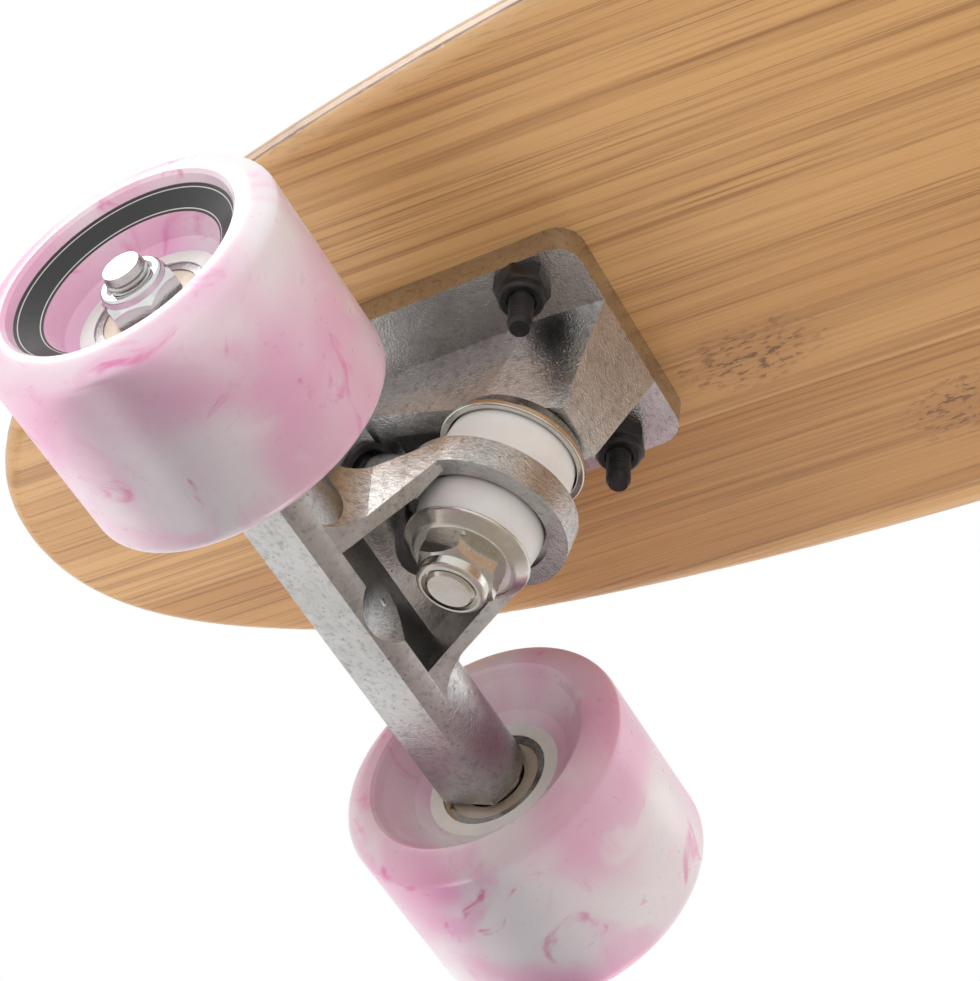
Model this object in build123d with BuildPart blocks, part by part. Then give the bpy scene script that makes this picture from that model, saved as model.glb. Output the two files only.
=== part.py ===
from build123d import *
import os
from math import cos, radians, sin, tan

os.makedirs("parts", exist_ok=True)

# A bamboo mini cruiser skateboard with two cast trucks, in millimetres.
#
# Board frame: +X runs from the nose to the kicktail, +Z is up, and the board stands on its
# wheels with the origin on the floor under the middle of its length.
# Truck frame: origin on the deck's underside, in the middle of the four mounting bolts, with
# +X towards the middle of the board. Both trucks are the same; the rear one is turned round.

# ---------------------------------------------------------------- driving dimensions
# deck
deck_length = 570.0
deck_width = 150.0
deck_thickness = 10.5
deck_edge_round = 4.2
nose_overhang = 97.7        # nose tip to the middle of the front mounting bolts
truck_spacing = 330.0       # between the middles of the two bolt patterns
nose_taper = 240.0          # length over which the nose comes to full width
nose_knee = (43.5, 48.0)    # point from the tip where the nose's corner meets its flank
nose_knee_angle = 25.8
nose_pulls = (24.4, 23.2, 40.0, 67.8)
tail_taper = 190.0
tail_knee = (34.0, 48.0)
tail_knee_angle = 25.0
tail_pulls = (27.0, 19.0, 40.0, 55.0)
kick_gap = 14.0             # rear baseplate to the start of the kicktail's bend
kick_angle = 16.0
kick_bend_radius = 95.0     # on the underside
grip_thickness = 0.8
grip_margin = 5.0

# mounting hardware, number 10 bolts
hole_spacing_x = 53.9
hole_spacing_y = 41.3
bolt_radius = 2.4
bolt_hole_radius = 2.65
bolt_head_radius = 4.6
bolt_head_angle = 82.0
bolt_head_clearance = 0.05
bolt_tip_depth = 20.1       # tip below the deck's underside
bolt_pitch = 0.8
bolt_nut_flats = 9.5
bolt_nut_hex = 3.7
bolt_nut_collar = 2.1

# baseplate
plate_length = 79.4
plate_width = 52.0
plate_thickness = 6.2
plate_corner = 5.5
plate_draft = 4.0           # degrees
wedge_half_width = 12.0     # at the plate
wedge_draft = 10.0          # degrees
wedge_inboard_x = 29.0      # where the sloping seat meets the inclined end face
facet_start_x = 24.5        # where the corner facet leaves the wedge's side
facet_top_half_width = 10.9
facet_foot_half_width = 6.5
core_pocket_near = 14.0     # cored recess in the seat, measured from the kingpin
core_pocket_far = 26.5
core_pocket_half_width = 4.6
core_pocket_depth = 9.0

# kingpin stack: depths are measured along the kingpin from the deck's underside
kingpin_x = 25.0
kingpin_lean = 19.4         # degrees, foot leaning towards the axle
kingpin_radius = 4.76
kingpin_hole_radius = 5.0
kingpin_head_depth = 14.0
kingpin_head_height = 6.0
kingpin_head_flats = 14.0
kingpin_head_clearance = 0.6
kingpin_tip_depth = 63.9
seat_depth = 25.4           # the baseplate's sloping seat
washer_bore = 4.86
washer_thickness = 1.6
upper_washer_radius = 14.3
upper_washer_height = 4.9
lower_washer_radius = 12.2
lower_washer_height = 2.7
lower_washer_base = 56.7
ring_top = 41.2
ring_bottom = 47.3
ring_radius = 17.0
ring_recess_radius = 13.2
ring_web_top = 43.0
ring_web_bottom = 45.8
ring_hole_radius = 7.0
upper_bushing_radius = 12.0
upper_bushing_bulge = 0.8
lower_bushing_radius = 12.2
lower_bushing_foot_radius = 10.0
bushing_bore = 5.1
kingpin_nut_flats = 14.3
kingpin_nut_hex = 4.4
kingpin_nut_collar = 2.5

# pivot
pivot_x = -16.6
pivot_z = -17.1
cup_radius = 6.3
cup_depth = 9.0
nose_radius = 4.2
nose_ball_depth = 3.0
pivot_clearance = 0.1
neck_radius = 6.3
neck_length = 24.0
boss_wall = 3.2

# hanger and axle
axle_drop = 55.3            # axle below the deck's underside
axle_setback = 13.8         # axle outboard of the bolt pattern's middle
axle_radius = 3.97
axle_pitch = 1.06
hanger_half_width = 49.9
speed_ring_thickness = 1.0
speed_ring_radius = 5.6
axle_nut_flats = 12.7
axle_nut_hex = 4.0
axle_nut_collar = 1.7
axle_tip = 2.9              # axle showing past its nut
yoke_half_width = 17.2      # outside the arms, at the ring
yoke_foot_half_width = 18.4
arm_wall = 2.6
yoke_flare = 9.5            # how far the arms spread where they meet the bar
yoke_pocket_depth = 8.0
axle_cover = 0.6            # metal left between the pocket and the axle
web_half_width = 6.0

# wheels and bearings
wheel_radius = 29.5
wheel_width = 43.0
wheel_offset = 1.5          # wheel's middle outboard of its bearings' middle
lip_height = 6.5            # how far the rounded lip comes in from the tread
lip_depth = 4.0
recess_rim_radius = 22.3
print_outer_radius = 21.7
print_inner_radius = 17.3
print_outer_depth = 2.2     # below the wheel's outer face
print_inner_depth = 4.8
core_lip_radius = 13.8
core_middle_radius = 17.0
core_proud = 0.3            # core standing past the bearing's face
bearing_radius = 11.0
bearing_width = 7.0
bearing_bore = 4.0
bearing_gap = 10.2          # spacer length between the two bearings
ball_radius = 1.984
ball_count = 7
pitch_radius = 7.5
groove_radius = 2.05
inner_land_radius = 6.1
outer_land_radius = 8.9
shield_outer_radius = 9.4
shield_inner_radius = 6.4
shield_thickness = 0.3
shield_inset = 0.25
cage_half_thickness = 0.6
cage_back = 2.6
cage_front = 1.2
spacer_radius = 5.4

# ---------------------------------------------------------------- worked out from them
deck_underside = wheel_radius + axle_drop
front_x = -deck_length / 2 + nose_overhang
rear_x = front_x + truck_spacing
kick_start_x = rear_x + plate_length / 2 + kick_gap
front_place = Location((front_x, 0, deck_underside))
rear_place = Location((rear_x, 0, deck_underside), (0, 0, 180))

axle_point = Vector(-axle_setback, 0, -axle_drop)
inner_bearing_face = hanger_half_width + speed_ring_thickness
outer_bearing_face = inner_bearing_face + 2 * bearing_width + bearing_gap
bearing_middle = (inner_bearing_face + outer_bearing_face) / 2
bearing_centre = (bearing_gap + bearing_width) / 2      # each bearing, from the wheel's bearing middle
axle_nut_face = outer_bearing_face + speed_ring_thickness
axle_half_length = axle_nut_face + axle_nut_hex + axle_nut_collar + axle_tip

lean = radians(kingpin_lean)
kingpin_foot = Vector(kingpin_x, 0, 0)
kingpin_down = Vector(-sin(lean), 0, -cos(lean))
kingpin_out = Vector(cos(lean), 0, -sin(lean))          # across the kingpin, towards the board's middle
kingpin_axis = Axis(kingpin_foot, kingpin_down)
kingpin_section = Plane(origin=kingpin_foot, x_dir=kingpin_out, z_dir=(0, 1, 0))

ring_middle = kingpin_foot + kingpin_down * (ring_web_top + ring_web_bottom) / 2
pivot_mouth = Vector(pivot_x, 0, pivot_z)
pivot_up = (pivot_mouth - ring_middle).normalized()
pivot_axis = Axis(pivot_mouth, pivot_up)
pivot_section = Plane(origin=pivot_mouth, x_dir=(-pivot_up.Z, 0, pivot_up.X), z_dir=(0, 1, 0))

wheel_section = Plane.XY                                # wheel frame: +Y outboard along the axle
wheel_axis = Axis.Y


def kingpin_plane(depth):
    """The plane square to the kingpin at a depth below the deck's underside."""
    return Plane(origin=kingpin_foot + kingpin_down * depth, x_dir=kingpin_out, z_dir=kingpin_down)


def kingpin_point(out, depth):
    """X and Z of a point beside the kingpin: out towards the board's middle, depth along it."""
    point = kingpin_foot + kingpin_out * out + kingpin_down * depth
    return point.X, point.Z


def seat_z(x, depth=seat_depth):
    """Height, at x, of the plane square to the kingpin at a depth."""
    return -(depth + sin(lean) * (x - kingpin_x)) / cos(lean)


def turned(section, axis, corners):
    """A turned piece: a closed outline of (radius, height) corners spun about its axis."""
    with BuildPart() as piece:
        with BuildSketch(section):
            with BuildLine():
                Polyline(*corners, close=True)
            make_face()
        revolve(axis=axis)
    return piece.part


def thread_corners(radius, start, end, pitch):
    """Corners of a rod's rolled thread as plain grooves, from start to end along the rod."""
    depth = 0.45 * pitch
    step = pitch if end > start else -pitch
    count = int(abs(end - start) / pitch)
    corners = []
    for turn in range(count):
        crest = start + turn * step
        corners += [(radius, crest), (radius, crest + 0.35 * step), (radius - depth, crest + 0.7 * step)]
    return corners + [(radius, start + count * step)]


def nylock_nut(base, flats, hex_height, collar_height, bore):
    """A lock nut standing on its base plane: a chamfered hexagon with a rolled collar on top."""
    corner = flats / 2 / cos(radians(30))
    collar = 0.94 * flats / 2
    top = hex_height + collar_height
    axis = Axis(base.origin, base.z_dir)
    section = Plane(origin=base.origin, x_dir=base.x_dir, z_dir=-base.y_dir)
    with BuildPart() as nut:
        with BuildSketch(base):
            RegularPolygon(radius=flats / 2, side_count=6, major_radius=False)
        extrude(amount=top)
        with BuildSketch(section):
            with BuildLine():
                outline = Polyline(
                    (0, 0),
                    (0.96 * corner, 0),
                    (corner, 0.06 * flats),
                    (corner, hex_height - 0.08 * flats),
                    (collar, hex_height),
                    (collar, top - 0.3 * collar_height),
                )
                lip = ThreePointArc(
                    outline @ 1,
                    (collar - 0.12 * collar_height, top - 0.1 * collar_height),
                    (collar - 0.5 * collar_height, top),
                )
                Polyline(lip @ 1, (0, top), (0, 0))
            make_face()
        revolve(axis=axis, mode=Mode.INTERSECT)
        with BuildSketch(base.offset(top)):
            Circle(bore + 0.1 * flats / 2)
        extrude(amount=-0.5 * collar_height, mode=Mode.SUBTRACT)
        with BuildSketch(base):
            Circle(bore)
        extrude(amount=top, mode=Mode.SUBTRACT)
    return nut.part


def write_piece(name, part):
    part.label = name
    export_step(part, f"parts/{name}.step")


# ---------------------------------------------------------------- deck
def half_outline(inset):
    """Control points of the half outline's four curves and side, from nose tip to tail tip."""
    half = deck_width / 2
    curves = []
    for tip, way, taper, knee, knee_angle, pulls in (
        (-deck_length / 2, 1, nose_taper, nose_knee, nose_knee_angle, nose_pulls),
        (deck_length / 2, -1, tail_taper, tail_knee, tail_knee_angle, tail_pulls),
    ):
        slope_x = cos(radians(knee_angle))
        slope_y = sin(radians(knee_angle))
        tip_pull, knee_pull_in, knee_pull_out, side_pull = pulls
        corner = [
            (0, 0),
            (0, tip_pull),
            (knee[0] - knee_pull_in * slope_x, knee[1] - knee_pull_in * slope_y),
            knee,
        ]
        flank = [
            knee,
            (knee[0] + knee_pull_out * slope_x, knee[1] + knee_pull_out * slope_y),
            (taper - side_pull, half),
            (taper, half),
        ]
        curves += [[(tip + way * along, out) for along, out in curve] for curve in (corner, flank)]
    shrink_x = 1 - 2 * inset / deck_length
    shrink_y = 1 - 2 * inset / deck_width
    return [[(x * shrink_x, y * shrink_y) for x, y in curve] for curve in curves]


def board_layer(low, high, inset, edge_round):
    """A layer of the board between two heights above its underside, its edge drawn in by inset."""
    far = deck_length
    with BuildPart() as half:
        with BuildSketch(Plane.XZ):
            with BuildLine():
                under = Line((-far, deck_underside + low), (kick_start_x, deck_underside + low))
                under_bend = JernArc(under @ 1, under % 1, kick_bend_radius - low, kick_angle)
                under_kick = Line(under_bend @ 1, under_bend @ 1 + (under_bend % 1) * far)
                over = Line((-far, deck_underside + high), (kick_start_x, deck_underside + high))
                over_bend = JernArc(over @ 1, over % 1, kick_bend_radius - high, kick_angle)
                over_kick = Line(over_bend @ 1, over_bend @ 1 + (over_bend % 1) * far)
                Line(under @ 0, over @ 0)
                Line(under_kick @ 1, over_kick @ 1)
            make_face()
        extrude(amount=-deck_width)
        with BuildSketch(Plane.XY):
            with BuildLine():
                nose_corner, nose_flank, tail_corner, tail_flank = half_outline(inset)
                Bezier(*nose_corner)
                Bezier(*nose_flank)
                Line(nose_flank[-1], tail_flank[-1])
                Bezier(*tail_flank)
                Bezier(*tail_corner)
                Line(tail_corner[0], nose_corner[0])
            make_face()
        extrude(amount=deck_length, mode=Mode.INTERSECT)
        if edge_round:
            rim = half.edges().filter_by(lambda edge: edge.center().Y > 0.6 * deck_edge_round)
            rim = rim.filter_by(Axis.Y, reverse=True).filter_by(Axis.Z, reverse=True)
            fillet(rim, radius=edge_round)
    return half.part + mirror(half.part, about=Plane.XZ)


deck_top = deck_underside + deck_thickness
with BuildPart() as deck_board:
    add(board_layer(0, deck_thickness, 0, deck_edge_round))
    with Locations((front_x, 0, deck_top), (rear_x, 0, deck_top)):
        with GridLocations(hole_spacing_x, hole_spacing_y, 2, 2):
            CounterSinkHole(
                radius=bolt_hole_radius,
                counter_sink_radius=bolt_head_radius + bolt_head_clearance,
                depth=deck_thickness,
                counter_sink_angle=bolt_head_angle,
            )
write_piece("deck_board", deck_board.part)

with BuildPart() as grip_tape:
    add(board_layer(deck_thickness, deck_thickness + grip_thickness, grip_margin, 0))
    with Locations((front_x, 0, deck_top), (rear_x, 0, deck_top)):
        with GridLocations(hole_spacing_x, hole_spacing_y, 2, 2):
            Cylinder(bolt_head_radius + 0.4, 4 * grip_thickness, mode=Mode.SUBTRACT)
write_piece("grip_tape", grip_tape.part)

# ---------------------------------------------------------------- baseplate
plate_shrink = plate_thickness * sin(radians(plate_draft))
wedge_top_x = plate_length / 2 - plate_shrink
wedge_outboard_x = kingpin_x - (seat_depth - plate_thickness * cos(lean)) / sin(lean)
wedge_foot_z = seat_z(wedge_inboard_x)
facet_corner = Vector(facet_start_x, wedge_half_width, -plate_thickness)
facet_top = Vector(wedge_top_x, facet_top_half_width, -plate_thickness)
facet_foot = Vector(wedge_inboard_x, facet_foot_half_width, wedge_foot_z)
side_normal = Vector(0, cos(radians(wedge_draft)), -sin(radians(wedge_draft)))
facet_normal = (facet_top - facet_corner).cross(facet_foot - facet_corner).normalized()

with BuildPart() as wedge:
    with BuildSketch(Plane.XZ):
        with BuildLine():
            Polyline(
                (wedge_outboard_x, 0),
                (wedge_outboard_x, -plate_thickness),
                (wedge_inboard_x, wedge_foot_z),
                (wedge_top_x, -plate_thickness),
                (plate_length / 2, 0),
                close=True,
            )
        make_face()
    extrude(amount=plate_width / 2, both=True)
    for side in (1, -1):
        draft_normal = Vector(0, side * side_normal.Y, side_normal.Z)
        corner = Vector(facet_corner.X, side * facet_corner.Y, facet_corner.Z)
        split(bisect_by=Plane(origin=corner, z_dir=draft_normal), keep=Keep.BOTTOM)
        cut_normal = Vector(abs(facet_normal.X), side * abs(facet_normal.Y), -abs(facet_normal.Z))
        split(bisect_by=Plane(origin=corner, z_dir=cut_normal), keep=Keep.BOTTOM)

with BuildPart() as baseplate:
    with BuildSketch(Plane.XY):
        RectangleRounded(plate_length, plate_width, plate_corner)
    extrude(amount=plate_thickness, dir=(0, 0, -1), taper=plate_draft)
    add(wedge.part)
    # boss round the pivot cup, square to the pivot axis
    add(
        turned(
            pivot_section,
            pivot_axis,
            [
                (0, 0),
                (cup_radius + boss_wall - 0.6, 0),
                (cup_radius + boss_wall, 0.6),
                (cup_radius + boss_wall + 2.0, cup_depth + 2),
                (0, cup_depth + 2),
            ],
        )
    )
    # keep the casting below the deck
    split(bisect_by=Plane.XY, keep=Keep.BOTTOM)
    # bore for the pivot cup
    add(turned(pivot_section, pivot_axis, [(0, -9), (cup_radius, -9), (cup_radius, cup_depth), (0, cup_depth)]),
        mode=Mode.SUBTRACT)
    # kingpin hole, and a pocket for its head from the deck's side
    with BuildSketch(kingpin_plane(-20)):
        Circle(kingpin_head_flats / 2 / cos(radians(30)) + kingpin_head_clearance)
    extrude(amount=20 + kingpin_head_depth, mode=Mode.SUBTRACT)
    with BuildSketch(kingpin_plane(0)):
        Circle(kingpin_hole_radius)
    extrude(amount=2 * seat_depth, mode=Mode.SUBTRACT)
    # cored recess in the sloping seat
    with BuildSketch(kingpin_plane(seat_depth + core_pocket_depth)):
        with Locations((-(core_pocket_near + core_pocket_far) / 2, 0)):
            Rectangle(core_pocket_far - core_pocket_near, 2 * core_pocket_half_width)
    extrude(amount=-2 * core_pocket_depth, mode=Mode.SUBTRACT)
    with Locations((0, 0, -plate_thickness)):
        with GridLocations(hole_spacing_x, hole_spacing_y, 2, 2):
            Cylinder(bolt_hole_radius, 3 * plate_thickness, mode=Mode.SUBTRACT)

# ---------------------------------------------------------------- pivot cup
socket = nose_radius + pivot_clearance
with BuildPart() as pivot_cup:
    with BuildSketch(pivot_section):
        with BuildLine():
            wall = Polyline(
                (0, cup_depth),
                (cup_radius, cup_depth),
                (cup_radius, -1.0),
                (socket + 0.8, -1.0),
                (socket, 0),
                (socket, nose_ball_depth),
            )
            ball = ThreePointArc(
                wall @ 1,
                (socket * sin(radians(45)), nose_ball_depth + socket * sin(radians(45))),
                (0, nose_ball_depth + socket),
            )
            Line(ball @ 1, wall @ 0)
        make_face()
    revolve(axis=pivot_axis)

# ---------------------------------------------------------------- kingpin and its stack
with BuildPart() as kingpin:
    with BuildSketch(kingpin_plane(kingpin_head_depth)):
        RegularPolygon(radius=kingpin_head_flats / 2, side_count=6, major_radius=False)
    extrude(amount=-kingpin_head_height)
    add(
        turned(
            kingpin_section,
            kingpin_axis,
            [
                (0, kingpin_head_depth - kingpin_head_height),
                (kingpin_radius, kingpin_head_depth - kingpin_head_height),
                (kingpin_radius, kingpin_tip_depth - 0.6),
                (kingpin_radius - 0.6, kingpin_tip_depth),
                (0, kingpin_tip_depth),
            ],
        )
    )

kingpin_nut = nylock_nut(
    kingpin_plane(lower_washer_base), kingpin_nut_flats, kingpin_nut_hex, kingpin_nut_collar, kingpin_radius
)


def cup_washer(base, rim, radius, shoulder):
    """A dished washer: flat base at one depth, turned-up rim at another, round the kingpin."""
    up = 1 if rim > base else -1
    inner = radius - washer_thickness + 0.2
    with BuildPart() as washer:
        with BuildSketch(kingpin_section):
            with BuildLine():
                FilletPolyline(
                    (washer_bore, base),
                    (radius - shoulder, base),
                    (radius, base + 0.75 * (rim - base)),
                    (radius, rim),
                    (inner, rim),
                    (inner - 0.4, base + up * washer_thickness),
                    (washer_bore, base + up * washer_thickness),
                    radius=[0, 1.6, 0.7, 0.3, 0.3, 0.5, 0],
                    close=True,
                )
            make_face()
        revolve(axis=kingpin_axis)
    return washer.part


boardside_washer = cup_washer(seat_depth, seat_depth + upper_washer_height, upper_washer_radius, 2.2)
roadside_washer = cup_washer(
    lower_washer_base, lower_washer_base - lower_washer_height, lower_washer_radius, 2.4
)


def bushing(top, bottom, top_radius, middle_radius, bottom_radius):
    """A urethane bushing round the kingpin with a gently curved side."""
    with BuildPart() as ring:
        with BuildSketch(kingpin_section):
            with BuildLine():
                Polyline((bottom_radius, bottom), (bushing_bore, bottom), (bushing_bore, top), (top_radius, top))
                ThreePointArc((top_radius, top), (middle_radius, (top + bottom) / 2), (bottom_radius, bottom))
            make_face()
        revolve(axis=kingpin_axis)
    return ring.part


boardside_bushing = bushing(
    seat_depth + washer_thickness,
    ring_web_top,
    upper_bushing_radius,
    upper_bushing_radius + upper_bushing_bulge,
    upper_bushing_radius,
)
roadside_bushing = bushing(
    ring_web_bottom,
    lower_washer_base - washer_thickness,
    lower_bushing_radius,
    (lower_bushing_radius + lower_bushing_foot_radius) / 2 + 0.5,
    lower_bushing_foot_radius,
)

# ---------------------------------------------------------------- mounting bolts and nuts
bolt_head_height = (bolt_head_radius - bolt_radius) / tan(radians(bolt_head_angle / 2))
bolt_spots = [
    (x, y) for x in (-hole_spacing_x / 2, hole_spacing_x / 2) for y in (-hole_spacing_y / 2, hole_spacing_y / 2)
]
bolt_corners = [
    (0, deck_thickness),
    (bolt_head_radius, deck_thickness),
    (bolt_radius, deck_thickness - bolt_head_height),
    *thread_corners(bolt_radius, -plate_thickness, 0.4 - bolt_tip_depth, bolt_pitch),
    (bolt_radius - 0.5, -bolt_tip_depth),
    (0, -bolt_tip_depth),
]
with BuildPart() as mounting_bolt:
    add(turned(Plane.XZ, Axis.Z, bolt_corners))
    with BuildSketch(Plane.XY.offset(deck_thickness)):
        for angle in (0, 90):
            Rectangle(0.95 * bolt_head_radius, 0.2 * bolt_head_radius, rotation=angle)
    extrude(amount=-1.6, mode=Mode.SUBTRACT)

with BuildPart() as mounting_bolts:
    for spot in bolt_spots:
        add(Location((*spot, 0)) * mounting_bolt.part)

with BuildPart() as mounting_nuts:
    for turn, spot in enumerate(bolt_spots):
        base = Plane(origin=(*spot, -plate_thickness), x_dir=Vector(1, 0, 0).rotate(Axis.Z, 17 * turn), z_dir=(0, 0, -1))
        add(nylock_nut(base, bolt_nut_flats, bolt_nut_hex, bolt_nut_collar, bolt_radius))

# ---------------------------------------------------------------- hanger
# bar section round the axle: a flat, slightly tilted underside, and a rounded inboard side
bar_outboard = -10.0
bar_ridge = (1.0, -7.9)
bar_inboard = (6.7, 1.3)
bar_top = (2.3, 10.1)
ridge_x = axle_point.X + bar_ridge[0]
ridge_z = axle_point.Z + bar_ridge[1]
bar_section = Plane(origin=axle_point, x_dir=(1, 0, 0), z_dir=(0, -1, 0))

with BuildPart() as bar:
    with BuildSketch(bar_section):
        with BuildLine():
            back = Polyline(bar_top, (-5.2, 10.1), (bar_outboard, 6.3), (bar_outboard, -2.9), bar_ridge)
            ThreePointArc(bar_ridge, bar_inboard, bar_top)
        make_face()
    extrude(amount=hanger_half_width, both=True)

# the yoke's arms: a side view drawn out sideways, then trimmed to the plan view
ring_bottom_x, ring_bottom_z = kingpin_point(0, ring_bottom)
ring_top_x, ring_top_z = kingpin_point(0, ring_top)
with BuildPart() as yoke:
    with BuildSketch(Plane.XZ):
        with BuildLine():
            Polyline(
                (ring_bottom_x, ring_bottom_z),
                (ridge_x, ridge_z),
                (axle_point.X, axle_point.Z),
                (axle_point.X, axle_point.Z + bar_top[1] + 1.5),
                (ring_middle.X - 0.9 * ring_radius, ring_top_z - 3.0),
                (ring_top_x, ring_top_z),
                close=True,
            )
        make_face()
    extrude(amount=2 * ring_radius, both=True)
    with BuildSketch(Plane.XY):
        with BuildLine():
            for side in (1, -1):
                ring_side = (ring_middle.X, side * (yoke_half_width - 0.4))
                arm_foot = (ridge_x + 9.5, side * yoke_foot_half_width)
                bar_foot = (ridge_x + 3.0, side * (yoke_foot_half_width + yoke_flare))
                Line(ring_side, arm_foot)
                ThreePointArc(arm_foot, (ridge_x + 5.2, side * (yoke_foot_half_width + 2.7)), bar_foot)
                Line(bar_foot, (axle_point.X, side * (yoke_foot_half_width + yoke_flare)))
            Line((ring_middle.X, yoke_half_width - 0.4), (ring_middle.X, 0.4 - yoke_half_width))
            Line(
                (axle_point.X, yoke_foot_half_width + yoke_flare),
                (axle_point.X, -yoke_foot_half_width - yoke_flare),
            )
        make_face()
    extrude(amount=-2 * axle_drop, mode=Mode.INTERSECT)

# triangular pocket between the bar and the ring, open downwards
floor_slope = (ring_bottom_z - ridge_z) / (ring_bottom_x - ridge_x)
floor_rise = yoke_pocket_depth * (1 + floor_slope**2) ** 0.5
pocket_wall_x = axle_point.X + axle_radius + axle_cover
with BuildPart() as yoke_pocket:
    with BuildSketch(Plane.XZ):
        with BuildLine():
            Polyline(
                (pocket_wall_x, ridge_z - 10),
                (pocket_wall_x, ridge_z + floor_rise + (pocket_wall_x - ridge_x) * floor_slope),
                (ring_bottom_x, ring_bottom_z + floor_rise),
                (ring_bottom_x, ridge_z - 10),
                close=True,
            )
        make_face()
    extrude(amount=ring_radius, both=True)
    with BuildSketch(Plane.XY):
        with BuildLine():
            Polyline(
                (pocket_wall_x, yoke_foot_half_width - arm_wall + 0.4),
                (ring_middle.X - 6.5, yoke_half_width - arm_wall - 0.4),
                (ring_middle.X - 6.5, arm_wall + 0.4 - yoke_half_width),
                (pocket_wall_x, arm_wall - 0.4 - yoke_foot_half_width),
                close=True,
            )
        make_face()
    extrude(amount=-2 * axle_drop, mode=Mode.INTERSECT)

# rib and neck that carry the pivot nose
neck_root = pivot_mouth - pivot_up * (neck_length - 4)
neck_start = pivot_mouth - pivot_up * 9.0
with BuildPart() as neck_rib:
    with BuildSketch(Plane.XZ):
        with BuildLine():
            Polyline(
                (neck_start.X, neck_start.Z),
                (neck_root.X, neck_root.Z),
                (ring_middle.X - 0.93 * ring_radius, ring_top_z),
                (axle_point.X + 4, axle_point.Z),
                (axle_point.X - 6, axle_point.Z + 9),
                (neck_start.X - 4.5, neck_start.Z - 5.0),
                close=True,
            )
        make_face()
    extrude(amount=web_half_width, both=True)

with BuildPart() as hanger:
    add(bar.part)
    add(yoke.part)
    add(neck_rib.part)
    with BuildSketch(kingpin_plane(ring_top)):
        Circle(ring_radius)
    extrude(amount=ring_bottom - ring_top)
    with BuildSketch(pivot_section):
        with BuildLine():
            neck = Polyline(
                (0, -neck_length),
                (neck_radius, -neck_length),
                (neck_radius, -12.0),
                (nose_radius + 0.6, -4.0),
                (nose_radius, -2.5),
                (nose_radius, nose_ball_depth),
            )
            tip = ThreePointArc(
                neck @ 1,
                (nose_radius * sin(radians(45)), nose_ball_depth + nose_radius * sin(radians(45))),
                (0, nose_ball_depth + nose_radius),
            )
            Line(tip @ 1, neck @ 0)
        make_face()
    revolve(axis=pivot_axis)
    add(yoke_pocket.part, mode=Mode.SUBTRACT)
    # seats for the two bushings, room round the lower stack, and the kingpin's hole
    for start, end, radius in (
        (seat_depth, ring_web_top, ring_recess_radius),
        (ring_web_bottom, ring_bottom, ring_recess_radius),
        (ring_bottom, ring_bottom + 30, ring_recess_radius + 1.1),
        (seat_depth, ring_bottom, ring_hole_radius),
    ):
        with BuildSketch(kingpin_plane(start)):
            Circle(radius)
        extrude(amount=end - start, mode=Mode.SUBTRACT)
    with BuildSketch(bar_section):
        Circle(axle_radius)
    extrude(amount=hanger_half_width, both=True, mode=Mode.SUBTRACT)

# ---------------------------------------------------------------- axle and what is fixed on it
axle_section = Plane(origin=axle_point, x_dir=(1, 0, 0), z_dir=(0, 0, 1))
axle_axis = Axis(axle_point, (0, 1, 0))
thread_start = axle_nut_face + axle_nut_hex
half_axle = thread_corners(axle_radius, thread_start, axle_half_length - 0.5, axle_pitch)
half_axle += [(axle_radius - 0.5, axle_half_length)]
axle_corners = [(0, -axle_half_length)]
axle_corners += [(radius, -along) for radius, along in reversed(half_axle)]
axle_corners += half_axle
axle_corners += [(0, axle_half_length)]
axle = turned(axle_section, axle_axis, axle_corners)


def along_axle(side, distance):
    """A plane square to the axle, facing outboard, on one side of the truck."""
    return Plane(origin=axle_point + Vector(0, side * distance, 0), x_dir=(1, 0, 0), z_dir=(0, side, 0))


with BuildPart() as axle_nuts:
    for side in (1, -1):
        add(nylock_nut(along_axle(side, axle_nut_face), axle_nut_flats, axle_nut_hex, axle_nut_collar, axle_radius))

with BuildPart() as speed_rings:
    for side in (1, -1):
        for distance in (hanger_half_width, outer_bearing_face):
            with BuildSketch(along_axle(side, distance)):
                Circle(speed_ring_radius)
                Circle(bearing_bore, mode=Mode.SUBTRACT)
            extrude(amount=speed_ring_thickness)

with BuildPart() as bearing_spacers:
    for side in (1, -1):
        with BuildSketch(along_axle(side, bearing_middle - bearing_gap / 2)):
            Circle(spacer_radius)
            Circle(bearing_bore, mode=Mode.SUBTRACT)
        extrude(amount=bearing_gap)

# ---------------------------------------------------------------- one wheel, in the wheel frame
outer_face = wheel_width / 2 + wheel_offset
inner_face = wheel_offset - wheel_width / 2
core_end = bearing_gap / 2 + bearing_width + core_proud
core_shoulder = core_end - 4.0
core_outside = [
    (core_lip_radius, -core_end),
    (core_lip_radius, -core_shoulder),
    (core_middle_radius, 2.0 - core_shoulder),
    (core_middle_radius, core_shoulder - 2.0),
    (core_lip_radius, core_shoulder),
    (core_lip_radius, core_end),
]
lip_radius = wheel_radius - lip_height

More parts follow.
